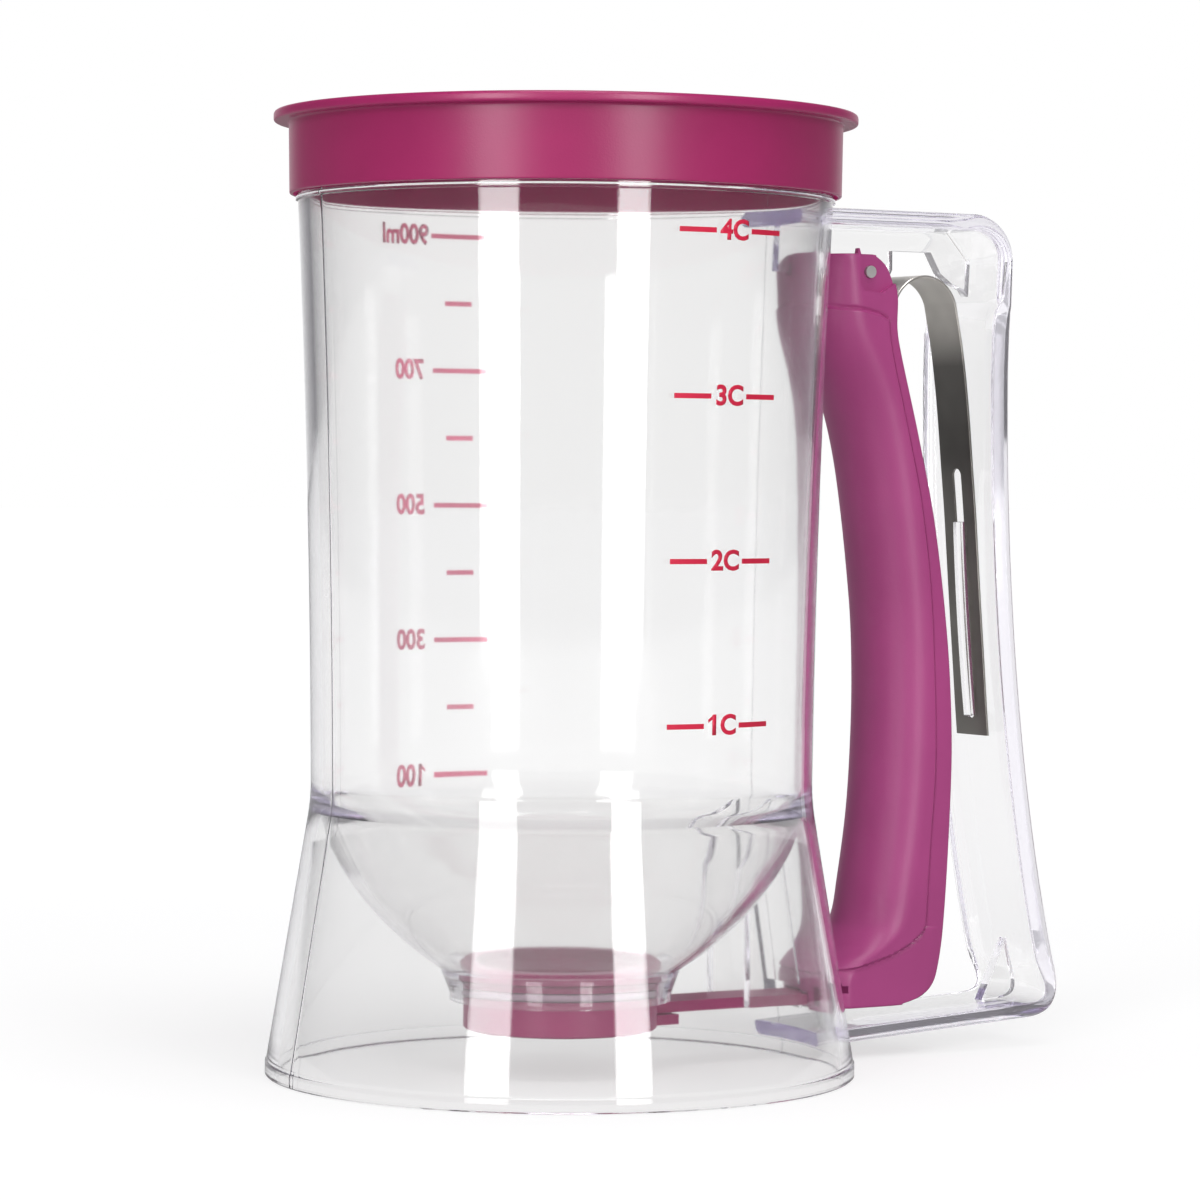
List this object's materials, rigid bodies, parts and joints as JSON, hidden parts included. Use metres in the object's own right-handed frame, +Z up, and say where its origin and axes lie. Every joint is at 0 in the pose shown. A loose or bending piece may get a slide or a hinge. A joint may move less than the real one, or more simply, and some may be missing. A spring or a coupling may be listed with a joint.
{
  "type": "pancake batter dispenser",
  "caption": "Clear batter vessel with funnel floor, press-on lid, D-shaped handle and a sprung trigger that pulls a shutter from under the outlet.",
  "frame": {"origin": "vessel axis at the plane of the foot, which is the table plane", "axes": "+Z up along the vessel axis, +X towards the handle, +Y completes a right-handed frame"},
  "size_m": [0.1744, 0.1178, 0.1912],
  "materials": {
    "clear_plastic": "clear moulded plastic, gloss",
    "plum_plastic": "plum moulded plastic, fine satin",
    "seal_silicone": "pale silicone rubber, matt",
    "spring_steel": "bare spring steel, satin"
  },
  "bodies": {
    "vessel_body": {"vessel": "clear_plastic", "handle": "clear_plastic", "valve_ring": "plum_plastic", "outlet_seal": "seal_silicone", "leaf_spring": "spring_steel", "pivot_pin": "spring_steel"},
    "trigger": {"trigger": "plum_plastic"},
    "valve_slide": {"valve_slide": "plum_plastic"},
    "lid": {"lid": "plum_plastic"}
  },
  "joints": [
    {"name": "trigger_hinge", "type": "hinge", "parent": "vessel_body", "child": "trigger", "pos_m": [0.0671, 0, 0.1617], "axis": [0, -1, 0], "range_deg": [0, 7], "stiffness_Nm_per_rad": 3, "springref_deg": -5.73, "deforming": ["leaf_spring"]},
    {"name": "shutter_slide", "type": "slide", "parent": "vessel_body", "child": "valve_slide", "axis": [1, 0, 0], "range_m": [0, 0.0183]},
    {"name": "lid_lift", "type": "slide", "parent": "vessel_body", "child": "lid", "axis": [0, 0, 1], "range_m": [0, 0.03]}
  ],
  "couplings": [
    {"joint": "shutter_slide", "follows": "trigger_hinge", "m_per_rad": 0.1488}
  ]
}
